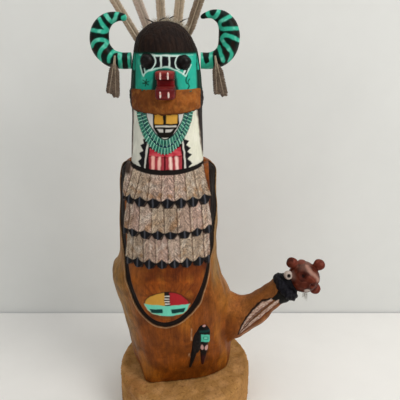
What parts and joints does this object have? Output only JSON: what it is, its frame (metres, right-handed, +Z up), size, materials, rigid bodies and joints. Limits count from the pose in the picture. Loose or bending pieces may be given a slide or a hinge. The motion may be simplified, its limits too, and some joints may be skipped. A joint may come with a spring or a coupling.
{
  "type": "kachina doll",
  "caption": "Painted kachina figure carved from a cottonwood root with a side branch, on a round slab of raw root, with horns and a crown of feathers.",
  "frame": {"origin": "middle of the round slab's underside, where the doll stands", "axes": "+Z up, the doll faces -Y, and the side branch points to +X"},
  "size_m": [0.207, 0.136, 0.446],
  "materials": {
    "raw_root": "raw cottonwood root, cork-like and pitted",
    "stained_root": "cottonwood root, sanded, stained and wood-burned, with acrylic paint on the figure, satin",
    "painted_horn": "turquoise acrylic with dark zigzags, satin",
    "pale_feather": "real feather, pale and matt",
    "dark_feather": "real feather, grey-brown and matt"
  },
  "bodies": {
    "root": {"base_slab": "raw_root", "carved_root": "stained_root", "horn_left": "painted_horn", "horn_right": "painted_horn", "crown_feather_1": "pale_feather", "crown_feather_2": "pale_feather", "crown_feather_3": "pale_feather", "crown_feather_4": "pale_feather", "crown_feather_5": "pale_feather", "horn_feathers_left": "dark_feather", "horn_feathers_right": "dark_feather"}
  },
  "joints": []
}
